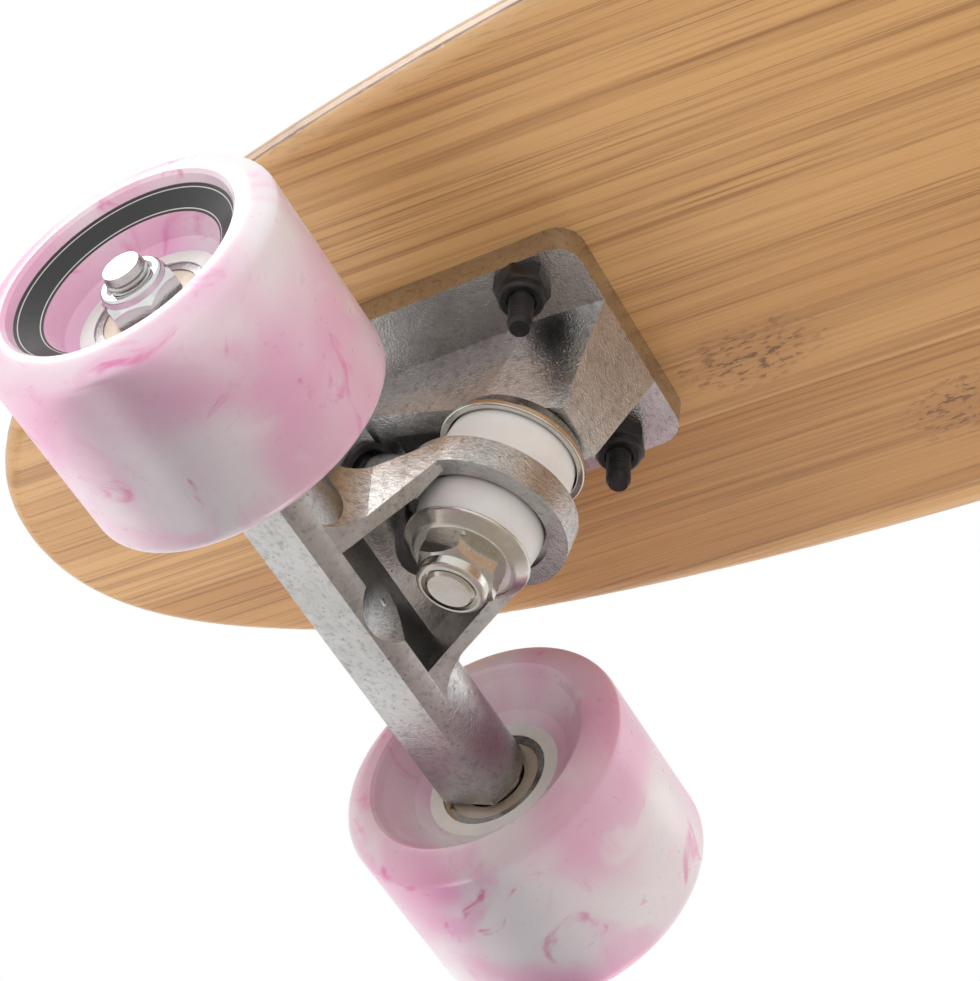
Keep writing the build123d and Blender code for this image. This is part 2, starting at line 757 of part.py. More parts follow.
with BuildPart() as tyre:
    with BuildSketch(wheel_section):
        with BuildLine():
            tread = Line((wheel_radius, inner_face + lip_depth), (wheel_radius, outer_face - lip_depth))
            outer_lip = Spline(
                tread @ 1,
                (wheel_radius - 0.3 * lip_height, outer_face - 0.28 * lip_depth),
                (lip_radius, outer_face),
                tangents=[(0, 1), (-1, 0)],
            )
            outer_recess = Polyline(
                outer_lip @ 1,
                (recess_rim_radius, outer_face - 0.6),
                (print_outer_radius, outer_face - print_outer_depth),
                (print_inner_radius, outer_face - print_inner_depth),
                (core_lip_radius + 2.0, core_end + 1.6),
                (core_lip_radius, core_end),
            )
            Polyline(*core_outside)
            inner_recess = Polyline(
                (core_lip_radius, -core_end),
                (core_lip_radius + 2.6, -core_end - 1.4),
                (recess_rim_radius - 1.2, inner_face + 1.9),
                (recess_rim_radius, inner_face + 0.5),
                (lip_radius, inner_face),
            )
            inner_lip = Spline(
                inner_recess @ 1,
                (wheel_radius - 0.3 * lip_height, inner_face + 0.28 * lip_depth),
                tread @ 0,
                tangents=[(1, 0), (0, 1)],
            )
        make_face()
    revolve(axis=wheel_axis)

core = turned(
    wheel_section,
    wheel_axis,
    [
        *core_outside,
        (bearing_radius, core_end),
        (bearing_radius, bearing_gap / 2),
        (outer_land_radius + 0.6, bearing_gap / 2),
        (outer_land_radius + 0.6, -bearing_gap / 2),
        (bearing_radius, -bearing_gap / 2),
        (bearing_radius, -core_end),
    ],
)

half_bearing = bearing_width / 2
with BuildPart() as inner_race:
    with BuildSketch(wheel_section):
        with Locations(((bearing_bore + inner_land_radius) / 2, 0)):
            Rectangle(inner_land_radius - bearing_bore, bearing_width)
        with Locations((pitch_radius, 0)):
            Circle(groove_radius, mode=Mode.SUBTRACT)
    revolve(axis=wheel_axis)

seat_inset = shield_inset + shield_thickness
with BuildPart() as outer_race:
    with BuildSketch(wheel_section):
        with Locations(((outer_land_radius + bearing_radius) / 2, 0)):
            Rectangle(bearing_radius - outer_land_radius, bearing_width)
        for end in (1, -1):
            with Locations((outer_land_radius, end * (half_bearing - seat_inset / 2))):
                Rectangle(2 * (shield_outer_radius - outer_land_radius), seat_inset, mode=Mode.SUBTRACT)
        with Locations((pitch_radius, 0)):
            Circle(groove_radius, mode=Mode.SUBTRACT)
    revolve(axis=wheel_axis)

with BuildPart() as shield_pair:
    with BuildSketch(wheel_section):
        for end in (1, -1):
            with Locations(
                (
                    (shield_inner_radius + shield_outer_radius) / 2,
                    end * (half_bearing - shield_inset - shield_thickness / 2),
                )
            ):
                Rectangle(shield_outer_radius - shield_inner_radius, shield_thickness)
    revolve(axis=wheel_axis)

ball_ring = Plane(origin=(0, 0, 0), x_dir=(1, 0, 0), z_dir=(0, 1, 0))
with BuildPart() as ball_set:
    with Locations(ball_ring):
        with PolarLocations(pitch_radius, ball_count):
            Sphere(ball_radius)

with BuildPart() as cage:
    with BuildSketch(wheel_section):
        with Locations((pitch_radius, (cage_front - cage_back) / 2)):
            Rectangle(2 * cage_half_thickness, cage_front + cage_back)
    revolve(axis=wheel_axis)
    with Locations(ball_ring):
        with PolarLocations(pitch_radius, ball_count):
            Sphere(groove_radius, mode=Mode.SUBTRACT)


def bearing_pair(part):
    """A bearing piece repeated in both bearings of a wheel."""
    with BuildPart() as pair:
        for end in (1, -1):
            add(Location((0, end * bearing_centre, 0)) * part)
    return pair.part


wheel_pieces = {
    "tyre": tyre.part,
    "wheel_core": core,
    "bearing_outer_rings": bearing_pair(outer_race.part),
    "bearing_shields": bearing_pair(shield_pair.part),
    "bearing_balls": bearing_pair(ball_set.part),
    "bearing_cages": bearing_pair(cage.part),
}


def wheel_place(side):
    """Where the wheel frame sits in the truck frame, on one side."""
    turn = 0 if side > 0 else 180
    return Location((axle_point.X, side * bearing_middle, axle_point.Z), (0, 0, turn))


with BuildPart() as bearing_inner_rings:
    for side in (1, -1):
        add(wheel_place(side) * bearing_pair(inner_race.part))

# ---------------------------------------------------------------- write both trucks
truck_pieces = {
    "baseplate": baseplate.part,
    "pivot_cup": pivot_cup.part,
    "kingpin": kingpin.part,
    "kingpin_nut": kingpin_nut,
    "boardside_washer": boardside_washer,
    "roadside_washer": roadside_washer,
    "boardside_bushing": boardside_bushing,
    "roadside_bushing": roadside_bushing,
    "mounting_bolts": mounting_bolts.part,
    "mounting_nuts": mounting_nuts.part,
    "hanger": hanger.part,
    "axle": axle,
    "axle_nuts": axle_nuts.part,
    "speed_rings": speed_rings.part,
    "bearing_spacers": bearing_spacers.part,
    "bearing_inner_rings": bearing_inner_rings.part,
}
# the nose points along -X, so a rider facing forwards has -Y on the left
sides = {
    ("front", -1): "front_left",
    ("front", 1): "front_right",
    ("rear", 1): "rear_left",
    ("rear", -1): "rear_right",
}
for end, place in (("front", front_place), ("rear", rear_place)):
    for name, part in truck_pieces.items():
        write_piece(f"{end}_{name}", place * part)
    for side in (1, -1):
        for name, part in wheel_pieces.items():
            write_piece(f"{sides[end, side]}_{name}", place * wheel_place(side) * part)
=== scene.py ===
# %% [markdown]
# # A bamboo mini cruiser, looked at from underneath
#
# The CAD frame holds the real shapes. This file dresses them: a surface for every node,
# soft meshes for the four bushings, and a small studio. All lengths are in metres, and the
# board's own frame is used throughout: +X from nose to kicktail, +Z up, floor at zero.

from math import cos, pi, radians, sin, tan

import bpy
import numpy as np
from mathutils import Matrix, Vector


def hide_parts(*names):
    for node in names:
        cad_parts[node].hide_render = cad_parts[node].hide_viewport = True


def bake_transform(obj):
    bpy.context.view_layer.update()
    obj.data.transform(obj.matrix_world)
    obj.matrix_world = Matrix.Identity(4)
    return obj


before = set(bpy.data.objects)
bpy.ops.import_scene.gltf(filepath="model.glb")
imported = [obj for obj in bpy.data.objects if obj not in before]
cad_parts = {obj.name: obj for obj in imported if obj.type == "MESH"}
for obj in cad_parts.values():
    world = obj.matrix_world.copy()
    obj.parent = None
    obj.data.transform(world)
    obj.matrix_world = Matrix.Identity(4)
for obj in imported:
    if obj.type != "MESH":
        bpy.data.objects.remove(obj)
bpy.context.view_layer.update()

# %% [markdown]
# ## Places that the finishes need
#
# A finish that follows the shape, such as the wheels' printed band, has to know where that
# shape is. These are the few heights and stations it takes: the deck's underside, the middle
# of each truck's four bolts, the axle outboard of it, and the kingpin's lean.

# %% Shared places
DECK_UNDER = 0.0848
FRONT_X = -0.1873
REAR_X = 0.1427
AXLE_SETBACK = 0.0138
WHEEL_RADIUS = 0.0295
LEAN = radians(19.4)

# %% [markdown]
# ## Shader sockets that add up
#
# A node tree is easier to read as arithmetic. `S` wraps a socket and overloads the operators,
# so `1.0 - a * b` adds its Math nodes. It could be done by hand in the Shader editor, but a
# formula is shorter and can be reused.


# %% Socket arithmetic
class S:
    """A shader socket that can be added, taken away, multiplied and divided like a number."""

    def __init__(self, paint, socket):
        self.paint = paint
        self.socket = socket

    def math(self, operation, *others, first=None):
        """A Math node on this socket and the others, or on first and this socket."""
        values = (self, *others) if first is None else (first, self)
        sockets = dict(zip(("Value", "Value_001"), values))
        return self.paint.node("ShaderNodeMath", "Value", {"operation": operation}, sockets)

    def __add__(self, other):
        return self.math("ADD", other)

    __radd__ = __add__

    def __sub__(self, other):
        return self.math("SUBTRACT", other)

    def __rsub__(self, other):
        return self.math("SUBTRACT", first=other)

    def __mul__(self, other):
        return self.math("MULTIPLY", other)

    __rmul__ = __mul__

    def __truediv__(self, other):
        return self.math("DIVIDE", other)

    def __abs__(self):
        return self.math("ABSOLUTE")

    def step(self, low, high):
        """A smooth 0 to 1 as this socket goes from low to high."""
        smooth = {"interpolation_type": "SMOOTHSTEP"}
        sockets = {"Value": self, "From Min": low, "From Max": high}
        return self.paint.node("ShaderNodeMapRange", "Result", smooth, sockets)

    def band(self, low, high, edge):
        """1 between low and high, fading to 0 over edge on each side."""
        return self.step(low - edge, low + edge) * (1.0 - self.step(high - edge, high + edge))


# %% [markdown]
# ## A paint
#
# Each finish is one material on the Principled shader. `Paint` holds its tree, the board
# coordinates that its patterns read, and one method, `node`, that adds any node: its type, the
# output that is wanted, its settings and then its sockets. The patterns read Object
# coordinates, which are metres on the board, so a scale of 1000 gives specks of about 1 mm.


# %% Paint
class Paint:
    """A material with its Principled surface, and the textures used on it."""

    def __init__(self, name, **constants):
        self.material = bpy.data.materials.new(name)
        self.material.use_nodes = True
        self.tree = self.material.node_tree
        self.surface = self.tree.nodes["Principled BSDF"]
        self.set(**constants)
        self.here = self.node("ShaderNodeTexCoord", "Object")
        self.x, self.y, self.z = (
            self.node("ShaderNodeSeparateXYZ", axis, sockets={"Vector": self.here}) for axis in "XYZ"
        )

    def node(self, kind, result, settings=(), sockets=()):
        """Adds a node, makes its settings, feeds its sockets, and gives its result socket."""
        node = self.tree.nodes.new(kind)
        for name, value in dict(settings).items():
            setattr(node, name, value)
        inputs = {socket.identifier: socket for socket in node.inputs}
        outputs = {socket.identifier: socket for socket in node.outputs}
        for name, value in dict(sockets).items():
            self.feed(inputs[name], value)
        return S(self, outputs[result])

    def feed(self, socket, value):
        """Links a wrapped socket into a socket, or sets a plain value on it."""
        if isinstance(value, S):
            self.tree.links.new(value.socket, socket)
        else:
            socket.default_value = value

    def set(self, **values):
        """Sets or links the Principled shader's sockets, named in lower case."""
        names = {socket.name.lower().replace(" ", "_"): socket for socket in self.surface.inputs}
        for name, value in values.items():
            self.feed(names[name], value)

    def place(self, x, y, z):
        """A point built from three values."""
        return self.node("ShaderNodeCombineXYZ", "Vector", sockets={"X": x, "Y": y, "Z": z})

    def noise(self, scale, point=None, detail=4.0, rough=0.55, warp=0.0):
        """Soft noise, about 0 to 1."""
        sockets = {
            "Vector": point or self.here,
            "Scale": scale,
            "Detail": detail,
            "Roughness": rough,
            "Distortion": warp,
        }
        return self.node("ShaderNodeTexNoise", "Fac", sockets=sockets)

    def cells(self, scale, point=None):
        """The distance to the middle of the nearest random cell."""
        sockets = {"Vector": point or self.here, "Scale": scale}
        return self.node("ShaderNodeTexVoronoi", "Distance", sockets=sockets)

    def random(self, value):
        """One random number for each whole value."""
        return self.node("ShaderNodeTexWhiteNoise", "Value", {"noise_dimensions": "1D"}, {"W": value})

    def mix(self, share, first, second):
        """A colour between two colours."""
        first, second = ((*c, 1.0) if isinstance(c, tuple) else c for c in (first, second))
        sockets = {"Factor_Float": share, "A_Color": first, "B_Color": second}
        return self.node("ShaderNodeMix", "Result_Color", {"data_type": "RGBA"}, sockets)

    def bump(self, height, depth, strength=1.0):
        """Feeds the surface's normal from a height pattern, depth metres deep."""
        sockets = {"Height": height, "Distance": depth, "Strength": strength}
        self.set(normal=self.node("ShaderNodeBump", "Normal", sockets=sockets))


def dress(paint, *names):
    """Gives CAD nodes their finish, in place of the plain one they came with."""
    for name in names:
        piece = bpy.data.objects[name]
        piece.data.materials.clear()
        piece.data.materials.append(paint.material)
    print(f"{paint.material.name}, {len(paint.tree.nodes)} shader nodes:", *names)


# %% [markdown]
# ## Bamboo strips
#
# Laminated bamboo is strips about 17 mm wide laid edge to edge, each with its own tone and
# fine streaks that run far along the board. An image texture would do it too, but noise
# stretched along the board needs no image and never repeats. The strips are found by rounding
# the distance across the board down, and each whole number draws one random tone.


# %% Strips and streaks
STRIPS_PER_METRE = 58.0
GRAIN_TURN = 0.04


def strips(p):
    """Adds to the paint its grain directions, its streaks, and each strip's tone and seam."""
    p.along = p.x + p.y * GRAIN_TURN
    p.across = p.y - p.x * GRAIN_TURN
    wobble = (p.noise(6.0, p.place(p.along, p.across * 2.0, 0.0), 2.0) - 0.5) * 0.004
    strip_place = (p.across + wobble) * STRIPS_PER_METRE
    strip = strip_place.math("FLOOR")
    p.tone = p.random(strip)
    p.second = p.random(strip + 41.0)
    p.seam = strip_place.math("FRACT").band(0.02, 0.98, 0.02)
    p.fine = p.noise(1.0, p.place(p.along * 14.0, p.across * 1500.0, p.z * 900.0), 6.0, 0.66)
    p.medium = p.noise(1.0, p.place(p.along * 5.0, p.across * 330.0, p.second * 9.0), 6.0, 0.62)
    p.broad = p.noise(1.0, p.place(p.along * 3.5, p.across * 60.0, p.tone * 5.0), 3.0)
    p.fibres = p.noise(1.0, p.place(p.along * 60.0, p.across * 4200.0, p.z * 2000.0), 3.0, 0.5)


def streaked(p):
    """Pale to honey from strip to strip, then brown, dark and pale streaks over that."""
    pale = (0.60, 0.345, 0.135)
    honey = (0.44, 0.215, 0.066)
    brown = (0.27, 0.115, 0.034)
    dark_streak = (0.17, 0.068, 0.021)
    pale_streak = (0.70, 0.44, 0.19)
    colour = p.mix((p.tone * 0.6 + p.broad * 0.8 - 0.25).step(0.1, 0.9), pale, honey)
    colour = p.mix(p.medium.step(0.47, 0.70) * 0.7, colour, brown)
    colour = p.mix(p.fine.step(0.51, 0.70) * 0.6, colour, dark_streak)
    return p.mix(p.fine.step(0.46, 0.24) * 0.4, colour, pale_streak)


# %% [markdown]
# ## Frayed marks
#
# A cane has a joint every so often, and where a strip was cut through one there is a ragged
# brown patch of short dark dashes. Some strips get one at a random place along them, and two
# more are set, as ellipses with torn edges, beside the front truck.

# %% Frayed marks
FRAYS = ((-0.131, 0.0174), (-0.096, 0.0462))
FRAY_HALF_LENGTH = 0.017
FRAY_HALF_WIDTH = 0.0085


def random_marks(p):
    """How far each point is from its strip's own mark, and whether the strip has one."""
    stagger = (p.along * 3.1 + p.second * 9.0).math("FRACT") - 0.5
    ragged = p.noise(1.0, p.place(p.along * 60.0, p.across * 650.0, 0.0), 5.0, 0.65) - 0.5
    return abs(stagger + ragged * 0.16), p.tone.step(0.62, 0.68)


def placed_marks(p):
    """The two listed marks: the distance in each ellipse's own units, roughened."""
    torn = p.noise(1.0, p.place(p.along * 120.0, p.across * 420.0, 3.0), 4.0, 0.6) - 0.5
    chosen = 0.0
    for fray_x, fray_y in FRAYS:
        off_x = (p.x - fray_x) / FRAY_HALF_LENGTH
        off_y = (p.y - fray_y) / FRAY_HALF_WIDTH
        away = (off_x * off_x + off_y * off_y).math("SQRT") + torn * 0.9
        chosen = chosen + away.step(1.15, 0.35)
    return chosen


def frayed(p, colour):
    """Lays a brown halo and dark dashes over the colour, and keeps the dashes for the bump."""
    halo_brown = (0.36, 0.165, 0.055)
    dash_brown = (0.12, 0.05, 0.02)
    mark, some = random_marks(p)
    chosen = placed_marks(p)
    halo = (1.0 - mark.step(0.0, 0.085)) * some
    dashes = p.noise(1.0, p.place(p.along * 330.0, p.across * 900.0, 0.0), 4.0, 0.6).step(0.5, 0.62)
    p.dashes = (1.0 - mark.step(0.01, 0.06)) * some * dashes + chosen * dashes
    colour = p.mix((halo + chosen) * 0.35, colour, halo_brown)
    return p.mix(p.dashes * 0.75, colour, dash_brown)


# %% [markdown]
# ## Plies on the rounded edge
#
# The board is pressed from layers, and sanding its edge round lays them bare as thin bands.
# Each band sits at a height above the underside. The kicktail bends the underside up, so the
# height is measured from a parabola through the bend and from a straight slope beyond it.

# %% Plies
PLATE_REACH = 0.0397
PLATE_TO_BEND = 0.014
BEND_RADIUS = 0.095
KICK = radians(16)


def ply_level(p):
    """The height over the bent underside, with a slight ripple."""
    bend_run = BEND_RADIUS * sin(KICK)
    past = p.x - (REAR_X + PLATE_REACH + PLATE_TO_BEND)
    in_bend = past.math("MAXIMUM", 0.0).math("MINIMUM", bend_run)
    beyond = (past - bend_run).math("MAXIMUM", 0.0)
    height = p.z - DECK_UNDER - in_bend * in_bend * (0.5 / BEND_RADIUS) - beyond * tan(KICK)
    return height + (p.noise(30.0, None, 2.0) - 0.5) * 0.0004


def layered(p, colour):
    """A pale ply, two dark glue lines and a grey ply between them."""
    level = ply_level(p)
    colour = p.mix(level.band(0.0008, 0.0031, 0.0004) * 0.45, colour, (0.60, 0.37, 0.18))
    colour = p.mix(level.band(0.0034, 0.0042, 0.0002) * 0.85, colour, (0.085, 0.036, 0.03))
    colour = p.mix(level.band(0.0060, 0.0066, 0.0002) * 0.7, colour, (0.10, 0.045, 0.035))
    return p.mix(level.band(0.0044, 0.0058, 0.0003) * 0.5, colour, (0.36, 0.22, 0.14))


# %% [markdown]
# ## The deck board
#
# The finish is put together from those layers: strips, marks, seams between the strips and
# plies, under a thin worn lacquer. The same patterns drive the bump, so a dark streak is also
# a shallow groove.


# %% Bamboo deck
def bamboo():
    """Strips, frayed marks, seams and plies under a thin lacquer."""
    seam_brown = (0.24, 0.105, 0.036)
    p = Paint("bamboo", roughness=0.4, coat_weight=0.2, coat_roughness=0.2)
    strips(p)
    colour = frayed(p, streaked(p))
    colour = p.mix((1.0 - p.seam) * 0.3, colour, seam_brown)
    colour = layered(p, colour)
    p.set(base_color=colour, roughness=p.fine * 0.22 + p.medium * 0.1 + 0.24)
    relief = p.fibres * 0.4 + p.fine * 0.6 - (1.0 - p.seam) * 0.5 - p.dashes * 0.7
    p.bump(relief, 0.00012, 0.7)
    return p


dress(bamboo(), "deck_board")

# %% [markdown]
# ## Grip tape
#
# The top carries a sheet of black sandpaper. Modelling each grain would cost millions of
# faces, so the sheet is plain CAD and its silicon carbide grit is a bump of small random
# cells, with a few brighter specks.


# %% Grip
def grip():
    """Near black with brighter specks, and a rough bump of random cells."""
    p = Paint("grip", specular_ior_level=0.35)
    grit = p.cells(1500.0)
    speck = p.noise(2600.0, None, 2.0)
    p.set(
        base_color=p.mix(speck.step(0.62, 0.75), (0.012, 0.012, 0.013), (0.09, 0.09, 0.095)),
        roughness=speck * 0.3 + 0.65,
    )
    p.bump(grit, 0.0004, 0.9)
    return p


dress(grip(), "grip_tape")

# %% [markdown]
# ## Raw cast aluminium
#
# Gravity-cast trucks are tumbled but not painted. The skin has a fine pebble, wide soft
# undulations, a scatter of dark pits, duller patches where the mould wash stuck, and scrapes
# across the board. Each is one noise at its own size, mixed over a light metal, because one
# noise alone looks like cloud and not like metal. The grain also carries painted shade, and
# the pebble carries painted glints.


# %% Castings
def casting():
    """Light metal, dulled by wash, darkened by painted shade over the grain, lit by painted glints on
    the pebble, brightened by scrapes, and pitted.
    """
    p = Paint("cast_aluminium", metallic=1.0)
    pebble = p.noise(2100.0, None, 4.0, 0.65)
    grain = p.noise(700.0, None, 5.0, 0.65)
    wave = p.noise(60.0, None, 3.0)
    wash = p.noise(70.0, None, 6.0, 0.7)
    pit = p.cells(560.0, p.place(p.x + wave * 0.004, p.y, p.z)).step(0.14, 0.04)
    scrape = p.noise(1.0, p.place(p.x * 180.0, p.y * 2600.0, p.z * 260.0), 4.0, 0.6).step(0.6, 0.76)
    clean, washed = (0.58, 0.58, 0.575), (0.44, 0.437, 0.43)
    grain_painted_shade, pebble_painted_glint = (0.22, 0.212, 0.204), (0.78, 0.775, 0.77)
    scraped, pitted = (0.70, 0.695, 0.69), (0.08, 0.075, 0.07)
    colour = p.mix(wash.step(0.35, 0.68), clean, washed)
    # painted shade: the grain darkens the metal towards a shadowed grey
    colour = p.mix(grain.step(0.48, 0.7) * 0.5, colour, grain_painted_shade)
    # painted glints: the pebble lightens the metal towards a shining grey
    colour = p.mix(pebble.step(0.58, 0.72) * 0.55, colour, pebble_painted_glint)
    colour = p.mix(scrape * 0.35, colour, scraped)
    colour = p.mix(pit * 0.6, colour, pitted)
    p.set(base_color=colour, roughness=grain * 0.16 + wash * 0.1 - scrape * 0.06 + 0.08)
    p.bump(pebble * 0.5 + grain * 0.4 + wave * 0.8 - pit * 0.6, 0.0004, 0.45)
    return p


cast = casting()
for end in ("front", "rear"):
    dress(cast, f"{end}_baseplate", f"{end}_hanger")

# %% [markdown]
# ## Steel, chrome and black hardware
#
# Plated parts differ mostly in roughness and warmth, so one function makes them all: a faint
# mottle between two tones, and handling marks that roughen the surface. Zinc is warm and
# slightly yellow, the axle nuts are bright chrome, and the mounting hardware is black.


# %% Metals
def plated(name, colour, tint, rough, mottle=0.35, metallic=1.0):
    """A metal mottled between two tones, with rubbed patches that are rougher."""
    p = Paint(name, metallic=metallic)
    cloud = p.noise(260.0, None, 5.0, 0.65)
    rub = p.noise(1.0, p.place(p.x * 500.0, p.y * 2400.0, p.z * 900.0), 4.0, 0.6)
    p.set(
        base_color=p.mix(cloud.step(0.35, 0.7) * mottle, colour, tint),
        roughness=cloud * 0.14 + rub.step(0.5, 0.8) * 0.16 + rough,
    )
    p.bump(rub * 0.5 + cloud * 0.5, 0.00006, 0.6)
    return p


zinc = plated("zinc_plate", (0.66, 0.66, 0.63), (0.55, 0.52, 0.40), 0.1, 0.6)
bright = plated("bright_steel", (0.60, 0.595, 0.58), (0.42, 0.41, 0.40), 0.18)
chrome = plated("chrome_plate", (0.70, 0.70, 0.71), (0.58, 0.58, 0.58), 0.03, 0.3)
black = plated("black_oxide", (0.018, 0.018, 0.02), (0.05, 0.048, 0.045), 0.26, 0.5, 0.55)
bearing = plated("bearing_steel", (0.36, 0.355, 0.35), (0.22, 0.21, 0.20), 0.16, 0.5)
beige = plated("shield_beige", (0.55, 0.47, 0.37), (0.42, 0.35, 0.27), 0.3, 0.5, 0.35)

CORNERS = ("front_left", "front_right", "rear_left", "rear_right")
for end in ("front", "rear"):
    dress(zinc, f"{end}_kingpin", f"{end}_kingpin_nut")
    dress(zinc, f"{end}_boardside_washer", f"{end}_roadside_washer")
    dress(bright, f"{end}_axle", f"{end}_speed_rings", f"{end}_bearing_spacers")
    dress(chrome, f"{end}_axle_nuts")
    dress(black, f"{end}_mounting_bolts", f"{end}_mounting_nuts")
    dress(bearing, f"{end}_bearing_inner_rings")
for corner in CORNERS:
    dress(bearing, f"{corner}_bearing_outer_rings", f"{corner}_bearing_balls")
    dress(beige, f"{corner}_bearing_shields")

# %% [markdown]
# ## Moulded plastics
#
# The wheel cores, bearing cages and pivot cups are moulded. They show faint flow marks and a
# very fine texture from the mould. A little subsurface light softens the ones that let light
# through, and the opaque black ones have none.


# %% Plastics
def moulded(name, colour, shade, rough, soft=0.0):
    """A plastic with slow flow marks between two tones and a fine mould texture."""
    p = Paint(name, subsurface_weight=soft, subsurface_scale=0.004)
    flow = p.noise(120.0, None, 4.0)
    texture = p.noise(1900.0, None, 3.0)
    p.set(base_color=p.mix(flow.step(0.3, 0.75), colour, shade), roughness=flow * 0.12 + rough)
    p.bump(texture + flow * 2.0, 0.00008, 0.5)
    return p


core_white = moulded("core_white", (0.80, 0.79, 0.76), (0.70, 0.68, 0.64), 0.34)
cage_black = moulded("cage_black", (0.03, 0.03, 0.03), (0.05, 0.05, 0.05), 0.4)
cup_black = moulded("cup_black", (0.012, 0.012, 0.012), (0.03, 0.03, 0.03), 0.38)
for corner in CORNERS:
    dress(core_white, f"{corner}_wheel_core")
    dress(cage_black, f"{corner}_bearing_cages")
for end in ("front", "rear"):
    dress(cup_black, f"{end}_pivot_cup")

# %% [markdown]
# ## Marbled wheels
#
# Two urethanes poured together make smoky bands. Noise whose own position has been pushed
# about by slower noise gives the same folded look. The print is a flat black band on the
# outer dish only, so its mask needs the radius from the axle and the side of the wheel.


# %% Wheels
PRINT_BAND = (0.0173, 0.0217)
OUTER_FACE = (0.077, 0.078)


def marbled(name, middle_x, side):
    """Smoky white, pink and deep pink, with a printed band round the outer face."""
    p = Paint(name, roughness=0.32, subsurface_weight=0.12, subsurface_scale=0.006, coat_weight=0.15)
    dx = p.x - middle_x
    dz = p.z - WHEEL_RADIUS
    radius = (dx * dx + dz * dz).math("SQRT")
    out = p.y * side

    push = p.noise(26.0, None, 2.0)
    swirl = p.place(p.x + push * 0.03, p.y + push * 0.022, p.z - push * 0.026)
    broad = p.noise(22.0, swirl, 2.0, 0.45, 0.4)
    clouds = p.noise(48.0, swirl, 3.0, 0.5, 0.8)
    folds = p.noise(62.0, swirl, 4.0, 0.55, 1.6)
    white, milky = (0.80, 0.755, 0.775), (0.84, 0.81, 0.81)
    pink, rose, deep = (0.78, 0.43, 0.60), (0.78, 0.36, 0.56), (0.70, 0.14, 0.38)
    colour = p.mix(broad.step(0.36, 0.66), white, pink)
    colour = p.mix(clouds.step(0.50, 0.74) * 0.45, colour, rose)
    colour = p.mix(folds.step(0.60, 0.72) * 0.7, colour, deep)
    colour = p.mix(clouds.step(0.42, 0.28) * 0.5, colour, milky)

    ink = radius.band(*PRINT_BAND, 0.00005) * out.step(*OUTER_FACE)
    line = radius.band(0.01770, 0.01786, 0.00004) + radius.band(0.02100, 0.02116, 0.00004)
    colour = p.mix(ink, colour, (0.012, 0.012, 0.012))
    colour = p.mix(line * ink, colour, (0.62, 0.58, 0.56))

    dust = p.noise(420.0, None, 4.0)
    p.set(base_color=colour, roughness=dust * 0.1 + ink * 0.08 + 0.24)
    mould = p.noise(900.0, None, 3.0)
    p.bump(mould * 0.6 + dust, 0.00008, 0.5)
    return p


def axle_x(end):
    """Where that end's axle is along the board."""
    return FRONT_X - AXLE_SETBACK if end == "front" else REAR_X + AXLE_SETBACK


for corner in CORNERS:
    end, hand = corner.split("_")
    side = -1.0 if hand == "left" else 1.0
    dress(marbled(f"marbled_{corner}", axle_x(end), side), f"{corner}_tyre")

# %% [markdown]
# ## Turned bushings
#
# A bushing is squeezed between the baseplate, which stays with the deck, and the hanger,
# which tips. Each is a turned mesh: for angle $u$ and a profile point $(r, s)$,
# $P = O + s\,k + r(\cos u\, e + \sin u\, j)$, where $k$ runs down the kingpin.


# %% Bushings
def turned(name, origin, axis, out, profile, around=96):
    """A closed turned mesh from a profile of (radius, distance along the axis) points."""
    ring = np.asarray(profile, float)
    u = np.linspace(0.0, 2.0 * pi, around, endpoint=False)
    axis = np.asarray(axis, float)
    out = np.asarray(out, float)
    across = np.cross(axis, out)
    spin = np.cos(u)[:, None] * out + np.sin(u)[:, None] * across
    radius, down = ring[None, :, 0, None], ring[None, :, 1, None]
    points = np.asarray(origin) + down * axis + radius * spin[:, None, :]
    count = len(ring)
    i, j = np.meshgrid(np.arange(around), np.arange(count), indexing="ij")
    i2, j2 = (i + 1) % around, (j + 1) % count
    corners = [i * count + j, i * count + j2, i2 * count + j2, i2 * count + j]
    quads = np.stack(corners, -1).reshape(-1, 4)
    mesh = bpy.data.meshes.new(name)
    mesh.from_pydata(points.reshape(-1, 3).tolist(), [], quads.tolist())
    mesh.shade_smooth()
    piece = bpy.data.objects.new(name, mesh)
    bpy.context.collection.objects.link(piece)
    return piece


def bushing_profile(bore, top, bottom, radii, samples=24):
    """Bore wall, faces with rounded corners, and an outside through three radii."""
    s = np.linspace(top, bottom, samples)
    middle = (top + bottom) / 2
    u = (s - middle) / ((bottom - top) / 2)
    low, mid, high = radii
    outside = mid + (high - low) / 2 * u + ((high + low) / 2 - mid) * u**2
    rounding = 0.0007 * (np.maximum(np.abs(u) - 0.93, 0.0) / 0.07) ** 2
    wall = np.stack([outside - rounding, s], -1)
    inner = np.stack([np.full(6, bore), np.linspace(bottom, top, 6)], -1)
    return np.concatenate([wall, inner])


# %% [markdown]
# ## The four bushings in their places
#
# Each truck has a tall one on the board's side of the hanger and a short one under it, both on
# the kingpin.

# %% Soft bushings
KINGPIN_SETBACK = 0.025
BUSHING_BORE = 0.0051
milk = moulded("milky_urethane", (0.88, 0.88, 0.87), (0.82, 0.82, 0.80), 0.28, 0.2)
